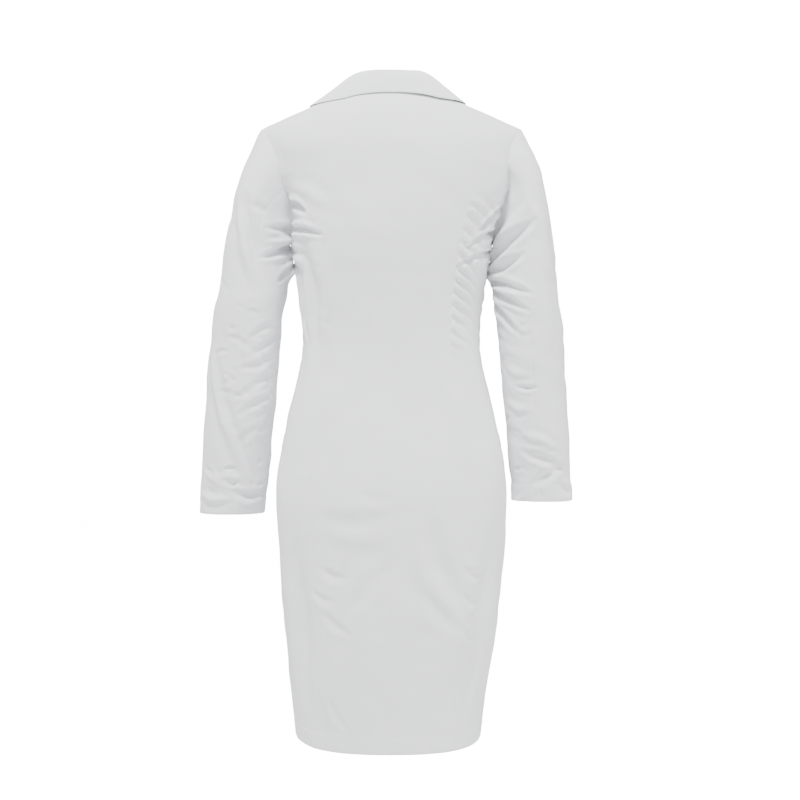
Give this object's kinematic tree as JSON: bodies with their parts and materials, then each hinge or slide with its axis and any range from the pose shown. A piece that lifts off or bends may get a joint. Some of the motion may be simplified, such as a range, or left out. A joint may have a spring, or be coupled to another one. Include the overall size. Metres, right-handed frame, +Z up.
{
  "type": "lab coat",
  "caption": "Fitted knee-length white lab coat with notched collar, princess seams, slim two-piece sleeves, snap front and patch pockets.",
  "frame": {"origin": "centre of the neck opening, level with the neck seam at the centre back", "axes": "+Z up along the wearer's spine, the front faces -Y, +X is the wearer's left"},
  "size_m": [0.5534, 0.2442, 0.9885],
  "materials": {
    "coat_cloth": "matte white poly-cotton twill",
    "collar_cloth": "matte white poly-cotton twill",
    "interlining": "matte",
    "label_tape": "satin",
    "loop_tape": "matte",
    "pearl_cap": "pearl",
    "snap_metal": "nickel plated"
  },
  "bodies": {
    "torso": {"back_centre_left": "coat_cloth", "back_centre_right": "coat_cloth", "back_side_left": "coat_cloth", "back_side_right": "coat_cloth", "front_side_left": "coat_cloth", "front_side_right": "coat_cloth", "front_chest_left": "coat_cloth", "front_chest_right": "coat_cloth", "lapel_left": "collar_cloth", "lapel_right": "collar_cloth", "upper_collar": "collar_cloth", "collar_interlining": "interlining", "under_collar": "collar_cloth", "back_neck_facing": "coat_cloth", "hip_pocket_left": "coat_cloth", "hip_pocket_right": "coat_cloth", "chest_pocket": "coat_cloth", "size_label": "label_tape", "care_label": "label_tape"},
    "sleeve_left": {"upper_sleeve_left": "coat_cloth", "under_sleeve_left": "coat_cloth"},
    "sleeve_right": {"upper_sleeve_right": "coat_cloth", "under_sleeve_right": "coat_cloth"},
    "front_right": {"front_skirt_right": "coat_cloth", "facing_right": "coat_cloth", "snap_caps": "pearl_cap", "snap_sockets": "snap_metal"},
    "front_left": {"front_skirt_left": "coat_cloth", "facing_left": "coat_cloth", "snap_studs": "snap_metal", "snap_posts": "snap_metal"},
    "hanger_loop": {"hanger_loop": "loop_tape"}
  },
  "joints": [
    {"name": "sleeve_left_raise", "type": "hinge", "parent": "torso", "child": "sleeve_left", "pos_m": [0.195, 0, -0.045], "axis": [0, -1, 0], "range_deg": [0, 45]},
    {"name": "sleeve_right_raise", "type": "hinge", "parent": "torso", "child": "sleeve_right", "pos_m": [-0.195, 0, -0.045], "axis": [0, 1, 0], "range_deg": [0, 45]},
    {"name": "front_right_open", "type": "hinge", "parent": "torso", "child": "front_right", "pos_m": [-0.095, -0.105, -0.64], "axis": [0, 0, -1], "range_deg": [0, 100]},
    {"name": "front_left_open", "type": "hinge", "parent": "torso", "child": "front_left", "pos_m": [0.095, -0.105, -0.64], "axis": [0, 0, 1], "range_deg": [0, 50]},
    {"name": "hanger_loop_lift", "type": "hinge", "parent": "torso", "child": "hanger_loop", "pos_m": [0, 0.052, -0.004], "axis": [-1, 0, 0], "range_deg": [0, 150]}
  ],
  "couplings": [
    {"joint": "front_left_open", "follows": "front_right_open", "ratio": 0.5}
  ]
}
